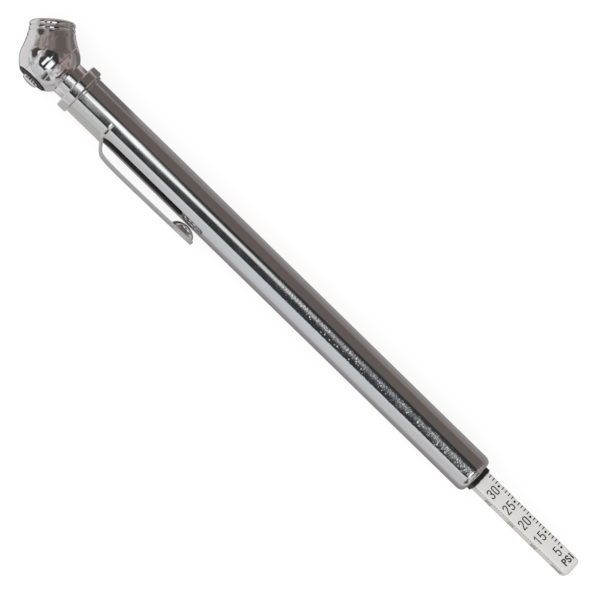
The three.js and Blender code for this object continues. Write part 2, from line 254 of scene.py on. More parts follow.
class Graph:
    """Builds a shader's nodes. A value may be a number, a tuple or another node's output."""

    def __init__(self, tree):
        self.nodes = tree.nodes
        self.links = tree.links

    def put(self, socket, value):
        if isinstance(value, bpy.types.NodeSocket):
            self.links.new(value, socket)
        elif socket.type == "RGBA":
            socket.default_value = (*value, 1)
        else:
            socket.default_value = value

    def set(self, node, **inputs):
        """Sets a node's inputs by name, with _ for a space."""
        for name, value in inputs.items():
            self.put(node.inputs[name.replace("_", " ")], value)

    def add(self, kind, **inputs):
        node = self.nodes.new(kind)
        self.set(node, **inputs)
        return node

    def op(self, operation, *values):
        node = self.nodes.new("ShaderNodeMath")
        node.operation = operation
        for socket, value in zip(node.inputs, values):
            self.put(socket, value)
        return node.outputs[0]

    def dot(self, values, weights):
        """The sum of values times weights."""
        terms = [self.op("MULTIPLY", v, w) for v, w in zip(values, weights)]
        total = terms[0]
        for term in terms[1:]:
            total = self.op("ADD", total, term)
        return total

    def step(self, value, low, high):
        """0 below low and 1 above high, smooth between."""
        node = self.nodes.new("ShaderNodeMapRange")
        node.interpolation_type = "SMOOTHSTEP"
        self.set(node, Value=value, From_Min=low, From_Max=high)
        return node.outputs["Result"]

    def mix(self, factor, a, b):
        node = self.nodes.new("ShaderNodeMix")
        node.data_type = "RGBA"
        self.put(node.inputs[0], factor)
        self.put(node.inputs[6], a)
        self.put(node.inputs[7], b)
        return node.outputs[2]

    def ramp(self, value, stops):
        """A tone that follows (place, grey or colour) stops."""
        node = self.add("ShaderNodeValToRGB", Fac=value)
        elements = node.color_ramp.elements
        while len(elements) < len(stops):
            elements.new(0.5)
        for element, (place, tone) in zip(elements, stops):
            element.position = place
            element.color = (tone, tone, tone, 1) if isinstance(tone, (int, float)) else (*tone, 1)
        return node.outputs["Color"]

    def lookup(self, value, low, high, stops):
        """A number that follows (place, number) stops, where value runs from low to high."""
        scaled = self.op("DIVIDE", self.op("SUBTRACT", value, low), high - low)
        return self.ramp(scaled, [((at - low) / (high - low), number) for at, number in stops])

    def noise(self, place, scale, detail=2.0, roughness=0.5):
        """Cloudy noise from 0 to 1."""
        node = self.add("ShaderNodeTexNoise", Vector=place, Scale=scale)
        self.set(node, Detail=detail, Roughness=roughness)
        return node.outputs["Fac"]

    def cells(self, place, scale):
        """The distance to the nearest of many scattered points."""
        return self.add("ShaderNodeTexVoronoi", Vector=place, Scale=scale).outputs["Distance"]

    def bump(self, shader, height, strength, distance):
        """Bumps on a shader: height is from 0 to about 1 and distance is in metres."""
        node = self.add("ShaderNodeBump", Height=height, Strength=strength, Distance=distance)
        self.set(shader, Normal=node.outputs["Normal"])


def new_material(name):
    """A material, with the graph of its nodes, its shader, and the place on the object."""
    material = bpy.data.materials.new(name)
    material.use_nodes = True
    graph = Graph(material.node_tree)
    place = graph.add("ShaderNodeTexCoord").outputs["Object"]
    return material, graph, graph.nodes["Principled BSDF"], place


def chrome(name, color, roughness, pits, wear=0.05, metallic=1.0):
    """Bright plate with fine pits and faint scuffs."""
    material, graph, shader, place = new_material(name)
    scuffs = graph.noise(place, 260, 4, 0.6)
    smear = graph.ramp(scuffs, [(0.35, roughness), (0.75, roughness + wear)])
    graph.set(shader, Base_Color=color, Metallic=metallic, Roughness=smear)
    pit = graph.ramp(graph.cells(place, 1500), [(0.0, 0.0), (0.16, 1.0)])
    height = graph.op("ADD", graph.op("MULTIPLY", graph.noise(place, 3800, 3, 0.6), 0.35), pit)
    graph.bump(shader, height, pits, 0.00002)
    return material


def pitted_chrome(name, color, roughness):
    """Bright plate on the tube, with a corroded strip along its upper side, worse towards the tail."""
    material, graph, shader, place = new_material(name)
    x, y, _ = graph.add("ShaderNodeSeparateXYZ", Vector=place).outputs
    scuffs = graph.noise(place, 260, 4, 0.6)
    smear = graph.ramp(scuffs, [(0.35, roughness), (0.75, roughness + 0.05)])
    graph.set(shader, Base_Color=color, Metallic=1, Roughness=smear)
    clumps = graph.step(graph.noise(place, 480, 3, 0.6), 0.36, 0.60)
    lengthwise = graph.step(x, -0.020, 0.012)
    strip = graph.op("MULTIPLY", graph.step(y, -0.0045, -0.0034), graph.step(y, -0.0004, -0.0013))
    worn = graph.op("MULTIPLY", lengthwise, strip)
    worn = graph.op("MULTIPLY", worn, graph.op("ADD", clumps, 0.25))
    pits = graph.step(graph.cells(place, 1250), 0.05, 0.22)
    textures = (graph.noise(place, 1700, 2, 0.6), graph.noise(place, 4200, 2, 0.6), pits)
    strength = graph.op("ADD", graph.op("MULTIPLY", worn, 0.70), 0.025)
    graph.bump(shader, graph.dot(textures, (1.0, 0.18, 0.8)), strength, 0.000022)
    return material


def plain(name, color, roughness, grain=0.1, scale=900, speckle=0.04, specular=0.5):
    """Rubber or plastic with a fine moulded grain and a slight change of tone."""
    material, graph, shader, place = new_material(name)
    noise = graph.noise(place, scale, 4, 0.6)
    low = tuple(c * (1 - speckle) for c in color)
    high = tuple(min(1.0, c * (1 + speckle)) for c in color)
    tone = graph.ramp(noise, [(0.3, low), (0.7, high)])
    graph.set(shader, Base_Color=tone, Roughness=roughness, Specular_IOR_Level=specular)
    graph.bump(shader, noise, grain, 0.00003)
    return material


def metal(name, color, roughness, wear=0.12):
    """Turned brass or drawn steel, with fine lines round it."""
    material, graph, shader, place = new_material(name)
    stretch = graph.add("ShaderNodeMapping", Vector=place, Scale=(9000, 300, 300))
    noise = graph.noise(stretch.outputs["Vector"], 1, 3)
    tone = graph.ramp(noise, [(0.3, tuple(0.8 * c for c in color)), (0.7, color)])
    rough = graph.ramp(noise, [(0.3, roughness), (0.7, roughness + wear)])
    graph.set(shader, Base_Color=tone, Metallic=1, Roughness=rough)
    return material


HEAD_CHROME = chrome("head chrome", (0.80, 0.79, 0.79), 0.035, pits=0.10)
BARREL_CHROME = pitted_chrome("barrel chrome", (0.80, 0.79, 0.79), 0.045)
CLIP_CHROME = chrome("clip chrome", (0.78, 0.78, 0.77), 0.06, pits=0.12, wear=0.06)
# A paler, less metallic copy of the clip chrome for the arm's outer faces and edges: painted light, so
# they read lighter than the plate.
ARM_CHROME_PAINTED_LIGHT = chrome("clip arm chrome painted light", (0.60, 0.59, 0.59), 0.36, pits=0.12, wear=0.08, metallic=0.55)
# A dark copy of the clip chrome on the arm's inner faces: painted shade where the arm faces the barrel.
CLIP_INSIDE_PAINTED_SHADE = chrome("clip inside painted shade", (0.16, 0.155, 0.15), 0.30, pits=0.3)
RUBBER = plain("seal rubber", (0.018, 0.018, 0.018), 0.6, grain=0.3)
BLACK_PLASTIC = plain("black plastic", (0.012, 0.011, 0.013), 0.38, grain=0.15)
NYLON = plain("white nylon", (0.72, 0.71, 0.69), 0.42, grain=0.08, scale=600, speckle=0.02)
INK = plain("scale ink", (0.018, 0.018, 0.02), 0.5, grain=0.1, specular=0.2)
PALE_INK = plain("worn scale ink", (0.20, 0.195, 0.19), 0.5, grain=0.1, speckle=0.5, scale=2500)
BRASS = metal("brass", (0.72, 0.55, 0.26), 0.28)
STEEL = metal("spring steel", (0.60, 0.60, 0.59), 0.25)

# ---- head ----

BALL_R = 7.3
NOZZLE_ANGLE = 129.5 * DEG  # the nozzle's direction, from +x towards +y
NOZZLE_AXIS = Vector((math.cos(NOZZLE_ANGLE), math.sin(NOZZLE_ANGLE), 0))
SOCKET_R = 4.1
RIM_X = 9.4
SEAL_TOP = 4.1
FLAT_Y = -5.95  # the flat that the deflator stud stands on
CUT_ZONE = 5.6  # the grooves and the flat are all behind this place on the nozzle's axis
GROOVES = (-2.5, 2.5)  # x of the two fine grooves that bound the ball's middle band
GROOVE_HALF = 0.16
GROOVE_DEPTH = 0.12
GROOVE_SLANT = 1.4  # how far the normals lean on a groove's sides
GROOVE_FADE = (42 * DEG, 50 * DEG)  # the grooves start at this angle from the nozzle's axis
NECK_R = 4.45
COLLAR = (8.4, 11.0)
COLLAR_R = 6.25
SPIGOT_R = 4.3  # the collar goes on into the barrel
SPIGOT_END = 15.0


def nozzle_outline():
    """The ball and nozzle about the nozzle's axis, from the ball's far side to the socket's floor."""
    ball = [
        (-BALL_R * math.cos(a), BALL_R * math.sin(a))
        for a in np.linspace(0, 92 * DEG, 76)
    ]
    flare = [(1.2, 7.24), (2.1, 7.04), (3.2, 6.64), (4.4, 6.22), (5.4, 5.92), (6.2, 5.74), (6.6, 5.67)]
    outline = Outline().curve(ball + spline([ball[-1], *flare], 0.12)[1:])
    outline.add([
        (6.6, 5.67),
        (6.68, 5.56, 0.05),
        (6.78, 5.40, 0.06),
        (6.90, 5.40, 0.05),
        (6.98, 5.54, 0.12),
        (7.40, 5.57, 0.50),
        (7.82, 5.48, 0.22),
        (7.98, 5.26, 0.07),
        (8.08, 5.26, 0.06),
        (8.16, 5.42, 0.16),
        (8.60, 5.52, 0.40),
        (9.00, 5.42, 0.30),
        (9.30, 5.08, 0.18),
        (RIM_X, 4.80, 0.10),
        (RIM_X - 0.05, 4.38, 0.12),
        (RIM_X - 0.40, SOCKET_R, 0.12),
        (SEAL_TOP - 0.4, SOCKET_R),
        (SEAL_TOP - 0.4, 0),
    ])
    return outline


def in_cut_zone(v):
    return v @ NOZZLE_AXIS < CUT_ZONE and v.length > BALL_R - 0.6


def cut_head(bm):
    """Cuts edges into the ball where the grooves' lines and the edge of the flat run."""
    planes = [
        ((g + k * GROOVE_HALF, 0, 0), (1, 0, 0)) for g in GROOVES for k in (-1, -0.5, 0, 0.5, 1)
    ]
    planes.append(((0, FLAT_Y, 0), (0, -1, 0)))
    for co, no in planes:
        zone = [f for f in bm.faces if all(in_cut_zone(v.co) for v in f.verts)]
        edges = list({e for f in zone for e in f.edges})
        verts = list({v for f in zone for v in f.verts})
        bmesh.ops.bisect_plane(bm, geom=zone + edges + verts, dist=1e-4, plane_co=co, plane_no=no)


def shape_head(bm, outline):
    """Puts the ball's points and normals on the turned outline, with the grooves and the flat in it."""
    slopes = {}
    for i, ends in enumerate(outline.normals):
        slopes[i] = ends[0]
        slopes.setdefault(i + 1, ends[1])
    table = [
        (math.atan2(r, x), math.hypot(x, r)) for x, r in outline.points if x < CUT_ZONE + 0.3
    ]
    angles = np.array([t[0] for t in table])[::-1]
    radii = np.array([t[1] for t in table])[::-1]
    leans = np.array([slopes[i] for i in range(len(table))])[::-1]
    axis = np.array(NOZZLE_AXIS)
    fade_start, fade_end = GROOVE_FADE
    for v in bm.verts:
        if not in_cut_zone(v.co):
            continue
        d = unit(v.co)
        theta = math.acos(np.clip(d @ axis, -1, 1))
        radius = np.interp(theta, angles, radii)
        nx, nr = (np.interp(theta, angles, leans[:, k]) for k in (0, 1))
        radial = unit(d - (d @ axis) * axis) if theta < 3.14 else np.zeros(3)
        normal = unit(nx * axis + nr * radial)
        fade = np.clip((theta - fade_start) / (fade_end - fade_start), 0, 1)
        for g in GROOVES:
            offset = (v.co.x - g) / GROOVE_HALF
            if abs(offset) < 0.98:
                radius -= GROOVE_DEPTH * fade * (1 - abs(offset))
                if 0.25 < abs(offset) < 0.75:
                    lean = -math.copysign(GROOVE_SLANT, offset) * fade
                    normal = unit(normal + np.array((lean, 0, 0)))
        q = d * radius
        if q[1] < FLAT_Y:
            q = q * (FLAT_Y / q[1])
        v.co = q
        v.normal = normal


def head_piece():
    """Ball and nozzle, turned about the nozzle's axis, with the grooves and the flat cut in."""
    outline = nozzle_outline()
    points, faces, normals = lathe_data(outline, 224, spun(NOZZLE_ANGLE))
    bm = bmesh.new()
    made = [bm.verts.new(v) for v in points]
    turned_normals = bm.loops.layers.float_vector.new("turned")
    corner = iter(normals)
    for f in faces:
        for loop in bm.faces.new([made[i] for i in f]).loops:
            loop[turned_normals] = next(corner)
    cut_head(bm)
    shape_head(bm, outline)

    def on_flat(v):
        return v.co.y < FLAT_Y + 1e-3

    corner_normals = []
    for face in bm.faces:
        shaped = all(in_cut_zone(v.co) or on_flat(v) for v in face.verts)
        flat = all(on_flat(v) for v in face.verts)
        for loop in face.loops:
            if flat:
                corner_normals.append((0, -1, 0))
            elif shaped:
                corner_normals.append(tuple(loop.vert.normal))
            else:
                corner_normals.append(tuple(loop[turned_normals]))
    bm.verts.index_update()
    points = [tuple(v.co) for v in bm.verts]
    polygons = [[v.index for v in f.verts] for f in bm.faces]
    bm.free()
    return make_object("head", points, polygons, HEAD_CHROME, corner_normals)


head = head_piece()

neck_outline = Outline([
    (5.0, 0),
    (5.0, NECK_R),
    (COLLAR[0] - 0.02, NECK_R, 0.10),
    (COLLAR[0], COLLAR_R - 0.24, 0.05),
    (COLLAR[0] + 0.06, COLLAR_R - 0.16, 0.06),
    (COLLAR[0] + 0.26, COLLAR_R, 0.16),
    (COLLAR[1] - 0.26, COLLAR_R, 0.16),
    (COLLAR[1] - 0.06, COLLAR_R - 0.16, 0.06),
    (COLLAR[1], COLLAR_R - 0.24, 0.05),
    (COLLAR[1], SPIGOT_R),
    (SPIGOT_END, SPIGOT_R),
    (SPIGOT_END, 0),
])
collar = lathe("collar", neck_outline, HEAD_CHROME)

SEAL_BASE = SEAL_TOP - 0.9
seal_outline = Outline([
    (SEAL_BASE, 1.5),
    (SEAL_BASE, 4.05),
    (SEAL_TOP, 4.05, 0.15),
    (SEAL_TOP, 1.9, 0.2),
    (SEAL_BASE, 1.5),
])
seal = lathe("valve_seal", seal_outline, RUBBER, 96, spun(NOZZLE_ANGLE))
pin_outline = Outline([(2.0, 0), (2.0, 0.55), (4.8, 0.55, 0.18), (4.8, 0)])
pin = lathe("valve_pin", pin_outline, BRASS, 48, spun(NOZZLE_ANGLE))

WASHER_R = 3.92
WASHER_TOP = -FLAT_Y + 0.33
washer_outline = Outline([
    (-FLAT_Y, 0),
    (-FLAT_Y, WASHER_R, 0.08),
    (WASHER_TOP, WASHER_R, 0.14),
    (WASHER_TOP, 0),
])
washer = lathe("deflator_seal", washer_outline, RUBBER, 96, spun(-90 * DEG))
DOME_START = 6.95
DOME_HEIGHT = 0.42
DOME_R = 2.05
button_dome = [
    (DOME_START + DOME_HEIGHT * math.sin(a), DOME_R * math.cos(a))
    for a in np.linspace(0, 89 * DEG, 24)
]
button_outline = Outline([(6.1, 0), (6.1, 1.95, 0.05), (6.4, 2.08, 0.1)]).curve(button_dome)
button_outline.add([(DOME_START + DOME_HEIGHT, 0.03), (DOME_START + DOME_HEIGHT, 0)])
button = lathe("deflator_button", button_outline, HEAD_CHROME, 96, spun(-90 * DEG))

# ---- barrel ----

LIP_LENGTH = 1.8
LIP_R = 4.05
LIP_HOLE_R = 3.9
STRAIGHT_STATIONS = (60, 110)  # x of two rings of points on the straight part of the tube
shoulder = [
    (BARREL_END - LIP_LENGTH * (1 - math.sin(a)), LIP_R + (BARREL_R - LIP_R) * math.cos(a))
    for a in np.linspace(0, 84 * DEG, 30)
]
straight = [(x, BARREL_R) for x in STRAIGHT_STATIONS]
barrel_outline = Outline([(BARREL_START, BORE_R), (BARREL_START, BARREL_R, 0.12), straight[0]])
barrel_outline.curve([*straight, *shoulder])
barrel_outline.add([
    (BARREL_END - 0.01, LIP_R + 0.06, 0.04),
    (BARREL_END, LIP_HOLE_R, 0.08),
    (BARREL_END - 1.5, LIP_HOLE_R),
    (BARREL_END - LIP_LENGTH, BORE_R),
    (BARREL_START, BORE_R),
])
tube = lathe("tube", barrel_outline, BARREL_CHROME, 192)

# ---- pocket clip ----

SHEET = 0.42
SADDLE_MID_R = BARREL_R + 0.06 + SHEET / 2
SADDLE_HALF = 78 * DEG
SADDLE_END = 21.75
ARM_HALF = 2.5  # half the arm's width
BOWL_X = 50.6
BOWL_HALF_LENGTH = 3.2
BOWL_HALF_WIDTH = 2.1
BOWL_DEPTH = 2.2
TIP_ROUND = 0.9
TIP_NARROWING = 0.9
FLATTEN_LENGTH = 2.6  # behind the saddle the strip goes from round to flat over this length
EDGE_LENGTH = 0.55  # the saddle's tail edge is dressed down towards the barrel over this length
EDGE_DROP = 0.19


def clip_line():
    """(x, distance from the barrel's axis) of the sheet's middle, from the eye to the tip."""
    flat = [(x, SADDLE_MID_R) for x in np.arange(CLIP_START + 0.2, SADDLE_END - 0.7, 0.45)]
    flat += [(SADDLE_END - EDGE_LENGTH, SADDLE_MID_R), (SADDLE_END - 0.3, SADDLE_MID_R)]
    bend = [(SADDLE_END - 0.01, SADDLE_MID_R), (SADDLE_END + 0.16, SADDLE_MID_R + 0.06)]
    knots = [(22.0, 5.54), (23.15, 6.84), (24.2, 7.45), (25.7, 7.75), (28.8, 7.90), (34, 7.905)]
    last_x, last_lift, fall = 44, 7.8, 0.02
    rise = spline([*knots, (last_x, last_lift)], 0.3)
    straight = [*np.arange(last_x + 0.3, 47.0, 0.3), *np.linspace(47.1, CLIP_TIP, 52)]
    tail = [(x, last_lift - fall * (x - last_x)) for x in straight]
    return [tuple(p) for p in [*flat, *bend, *rise, *tail]]


def clip_piece():
    """The clip's strip: a saddle round the barrel, then the flat arm, with the bowl pressed in it."""
    line = clip_line()
    arm_first = next(i for i, (x, _) in enumerate(line) if x > SADDLE_END)
    full = SADDLE_MID_R * SADDLE_HALF
    inner = list(np.linspace(-1, 1, 25))
    outer = list(np.linspace(ARM_HALF / full, 1, 16)[1:])
    middle = [("middle", k) for k in range(len(inner))]
    up, down = ([(side, k) for k in range(len(outer))] for side in ("up", "down"))
    verts, faces = [], []
    grid = {}

    def put(i, key, w):
        """Adds the point of row i that is w along the strip's curve from its middle."""
        x, r = line[i]
        flatness = np.clip((x - SADDLE_END) / FLATTEN_LENGTH, 0, 1)
        flatness = flatness * flatness * (3 - 2 * flatness)
        curve_r = SADDLE_MID_R / max(1 - flatness, 1e-4)
        if abs(w) > ARM_HALF:
            curve_r -= EDGE_DROP * np.clip((x - SADDLE_END + EDGE_LENGTH) / EDGE_LENGTH, 0, 1)
            r = curve_r
        a = w / curve_r
        drop = curve_r * (1 - math.cos(a))
        y, z = -(r - drop), curve_r * math.sin(a)
        if x > BOWL_X - BOWL_HALF_LENGTH:
            u = ((x - BOWL_X) / BOWL_HALF_LENGTH) ** 2 + (w / BOWL_HALF_WIDTH) ** 2
            if u < 1:
                y += BOWL_DEPTH * (1 - u) ** 0.5 * min(1, (1 - u) * 8) ** 0.35
        grid[i, key] = len(verts)
        verts.append((x, y, z))

    for i, (x, _) in enumerate(line):
        half = ARM_HALF
        past = (x - (CLIP_TIP - TIP_ROUND)) / TIP_ROUND
        if past > 0:
            half = ARM_HALF - TIP_NARROWING * (1 - math.sqrt(max(0, 1 - past * past)))
        for key, v in zip(middle, inner):
            put(i, key, v * half)
        if i < arm_first:
            for up_key, down_key, v in zip(up, down, outer):
                put(i, up_key, v * full)
                put(i, down_key, -v * full)
    # rows of points across the strip: its middle, then the saddle's two sides
    chains = [middle, [middle[-1], *up], [*reversed(down), middle[0]]]
    for i in range(len(line) - 1):
        for chain in chains:
            for a, b in zip(chain, chain[1:]):
                quad = [(i, a), (i, b), (i + 1, b), (i + 1, a)]
                if all(q in grid for q in quad):
                    faces.append([grid[q] for q in quad])
    sheet = make_object("clip sheet", verts, faces, CLIP_CHROME)
    thick = sheet.modifiers.new("thickness", "SOLIDIFY")
    thick.thickness = SHEET * MM
    thick.offset = 0
    bevel = sheet.modifiers.new("edges", "BEVEL")
    bevel.width = 0.13 * MM
    bevel.segments = 3
    bevel.limit_method = "ANGLE"
    bevel.angle_limit = 50 * DEG
    bevel.harden_normals = True
    sheet = applied(sheet)
    mesh = sheet.data
    mesh.materials.append(ARM_CHROME_PAINTED_LIGHT)
    mesh.materials.append(CLIP_INSIDE_PAINTED_SHADE)
    bend_x = ORIGIN.x + SADDLE_END * MM
    bowl_x = ORIGIN.x + (BOWL_X - BOWL_HALF_LENGTH) * MM
    for polygon in mesh.polygons:
        n = polygon.normal
        if polygon.center.x < bend_x:
            continue
        rim = abs(polygon.center.z - AXIS_Z) > (ARM_HALF - 0.3) * MM
        # painted light: past the bend the outer faces and edges take the paler copy of the clip chrome
        if n.y < -0.1 or rim and abs(n.y) < 0.5:
            polygon.material_index = 1
        # painted shade: the inner faces towards the barrel, before the bowl, take the dark copy of the
        # clip chrome
        elif n.y > 0.3 and polygon.center.x < bowl_x:
            polygon.material_index = 2
    return sheet


def applied(obj):
    """obj with its modifiers turned into mesh."""
    graph = bpy.context.evaluated_depsgraph_get()
    mesh = bpy.data.meshes.new_from_object(obj.evaluated_get(graph))
    obj.modifiers.clear()
    obj.data = mesh
    return obj


eye = lathe(
    "clip eye",
    Outline([
        (CLIP_START, 4.4),
        (CLIP_START, 5.5, 0.1),
        (CLIP_START + 0.55, 5.5, 0.1),
        (CLIP_START + 0.55, 4.4),
        (CLIP_START, 4.4),
    ]),
    CLIP_CHROME,
)
clip = joined("clip", clip_piece(), eye)

# ---- tail bush ----

BAR_HALF = 2.4
BAR_CORNER = 0.35
BAR_ROLL = -5 * DEG
CORNER_STEPS = 8
BUSH_START = BARREL_END - 3.0
BUSH_R = 4.5
BUSH_NOSE_R = 3.75
HOLE_GAP = 0.10
HOLE_MOUTH = 0.12  # the chamfer round the square hole
bush_outline = [
    (BUSH_START, BUSH_R, 0.1),
    (BARREL_END - 1.5, BUSH_R, 0.1),
    (BARREL_END - 1.0, BUSH_NOSE_R, 0.1),
    (BUSH_FACE, BUSH_NOSE_R, 0.25),
]


def square_loop(half, corner, count):
    """Points on a rounded square, corner by corner, with their outward directions."""
    middle = half - corner
    pts = []
    for q in range(4):
        turn = math.pi / 4 + q * math.pi / 2
        cy = middle * math.copysign(1, math.cos(turn))
        cz = middle * math.copysign(1, math.sin(turn))
        for k in range(count + 1):
            a = turn - math.pi / 4 + math.pi / 2 * k / count
            n = (math.cos(a), math.sin(a))
            pts.append(((cy + corner * n[0], cz + corner * n[1]), n))
    return pts


def rolled(y, z):
    """A point across the bar, turned as the bar is."""
    c, s = math.cos(BAR_ROLL), math.sin(BAR_ROLL)
    return y * c - z * s, y * s + z * c


def bush_piece():
    """A round nose with a square hole: each ring of points runs from the round outside to the hole."""
    square = square_loop(BAR_HALF + HOLE_GAP, BAR_CORNER, CORNER_STEPS)
    n = len(square)
    outline = Outline([(BUSH_START, 3.6), *bush_outline, (BUSH_FACE, 3.2)])
    rings, verts, faces = [], [], []
    directions = [math.atan2(*reversed(rolled(*p))) for p, _ in square]
    for x, r in outline.points:
        rings.append(range(len(verts), len(verts) + n))
        verts.extend((x, r * math.cos(a), r * math.sin(a)) for a in directions)
    hole = (
        (BUSH_FACE, HOLE_MOUTH),
        (BUSH_FACE - 0.05, HOLE_MOUTH * 0.4),
        (BUSH_FACE - HOLE_MOUTH, 0),
        (BUSH_START, 0),
    )
    for x, grow in hole:
        rings.append(range(len(verts), len(verts) + n))
        for (y, z), (ny, nz) in square:
            verts.append((x, *rolled(y + ny * grow, z + nz * grow)))
    rings.append(rings[0])
    for a, b in zip(rings, rings[1:]):
        for k in range(n):
            j = (k + 1) % n
            faces.append([a[k], a[j], b[j], b[k]])
    obj = make_object("bush", verts, faces, BLACK_PLASTIC)
    obj.data.set_sharp_from_angle(angle=32 * DEG)
    return obj


bush = bush_piece()

# ---- spring ----

SPRING_R = 4.05  # to the middle of the wire
SPRING_TURNS = 20
WIRE_R = 0.25


def spring_piece():
    """A coil of round wire, drawn here over the CAD spring's length."""
    low, high = (along("main_spring", end) for end in (0, 1))
    steps = 24 * SPRING_TURNS
    sides = 10
    verts, faces = [], []
    for i in range(steps + 1):
        a = 2 * math.pi * SPRING_TURNS * i / steps
        x = low + WIRE_R + (high - low - 2 * WIRE_R) * i / steps
        for k in range(sides):
            b = 2 * math.pi * k / sides
            r = SPRING_R + WIRE_R * math.cos(b)
            verts.append((x + WIRE_R * math.sin(b), r * math.cos(a), r * math.sin(a)))
    for i in range(steps):
        near, far = i * sides, (i + 1) * sides
        for k in range(sides):
            j = (k + 1) % sides
            faces.append([near + k, far + k, far + j, near + j])
    faces.append(list(range(sides)))
    faces.append([steps * sides + k for k in reversed(range(sides))])
    return make_object("spring", verts, faces, STEEL)


spring = spring_piece()

# ---- scale bar ----

TIP_EDGE = 1.2  # length of the rounding at the tip
TIP_INSET = 0.85  # how far it comes in from the sides
BAR_START = 60.9


def bar_piece():
    """A square rod with rounded corners and a rounded tip."""
    n = 4 * (CORNER_STEPS + 1)
    stations = [(BAR_START, 0.0)] + [(x, 0.0) for x in np.linspace(100, BAR_TIP - TIP_EDGE, 12)]
    for a in np.linspace(0, 90 * DEG, 9)[1:]:
        stations.append((BAR_TIP - TIP_EDGE * (1 - math.sin(a)), TIP_INSET * (1 - math.cos(a))))
    verts, faces, rings = [], [], []
    for x, inset in stations:
        rings.append(range(len(verts), len(verts) + n))
        ring = square_loop(BAR_HALF - inset, BAR_CORNER + 0.5 * inset, CORNER_STEPS)
        verts.extend((x, *rolled(*p)) for p, _ in ring)
    for a, b in zip(rings, rings[1:]):
        for k in range(n):
            j = (k + 1) % n
            faces.append([a[k], a[j], b[j], b[k]])
    faces.append(list(rings[-1]))
    faces.append(list(reversed(rings[0])))
    obj = make_object("bar", verts, faces, NYLON)
    obj.data.set_sharp_from_angle(angle=40 * DEG)
    return obj


bar = bar_piece()

# Strokes of each printed sign, in a box one unit high, as (along the line of text, up) points.
GLYPHS = {
    "0": [[(0.08, 0.25), (0.10, 0.08), (0.25, 0.0), (0.40, 0.08), (0.42, 0.25), (0.42, 0.75),
           (0.40, 0.92), (0.25, 1.0), (0.10, 0.92), (0.08, 0.75), (0.08, 0.25)]],
    "1": [[(0.10, 0.80), (0.25, 1.0), (0.25, 0.0)]],
    "2": [[(0.08, 0.78), (0.11, 0.94), (0.25, 1.0), (0.39, 0.94), (0.42, 0.78), (0.38, 0.58),
           (0.10, 0.10), (0.08, 0.0), (0.43, 0.0)]],
    "3": [[(0.08, 0.80), (0.12, 0.95), (0.25, 1.0), (0.38, 0.95), (0.42, 0.78), (0.38, 0.58),
           (0.24, 0.53)], [(0.24, 0.53), (0.39, 0.47), (0.43, 0.27), (0.38, 0.06), (0.25, 0.0),
           (0.12, 0.05), (0.07, 0.20)]],
    "4": [[(0.36, 0.0), (0.36, 1.0)], [(0.36, 1.0), (0.06, 0.28), (0.46, 0.28)]],
    "5": [[(0.41, 1.0), (0.11, 1.0), (0.09, 0.55), (0.25, 0.62), (0.40, 0.55), (0.43, 0.32),
           (0.39, 0.08), (0.25, 0.0), (0.12, 0.05), (0.07, 0.18)]],
    "P": [[(0.10, 0.0), (0.10, 1.0), (0.34, 1.0), (0.46, 0.90), (0.46, 0.62), (0.34, 0.50),
           (0.10, 0.50)]],
    "S": [[(0.46, 0.80), (0.40, 0.96), (0.27, 1.0), (0.13, 0.95), (0.09, 0.76), (0.16, 0.58),
           (0.38, 0.44), (0.46, 0.25), (0.40, 0.06), (0.26, 0.0), (0.12, 0.05), (0.07, 0.20)]],
    "I": [[(0.20, 0.0), (0.20, 1.0)]],
    "k": [[(0.10, 0.0), (0.10, 1.0)], [(0.42, 0.62), (0.12, 0.30)], [(0.20, 0.38), (0.44, 0.0)]],
    "a": [[(0.12, 0.60), (0.28, 0.66), (0.42, 0.56), (0.42, 0.0)],
          [(0.42, 0.38), (0.20, 0.36), (0.10, 0.20), (0.18, 0.02), (0.32, 0.02), (0.42, 0.14)]],
}
INK_THICK = 0.02  # how far the ink stands proud of the bar
INK_SINK = 0.06


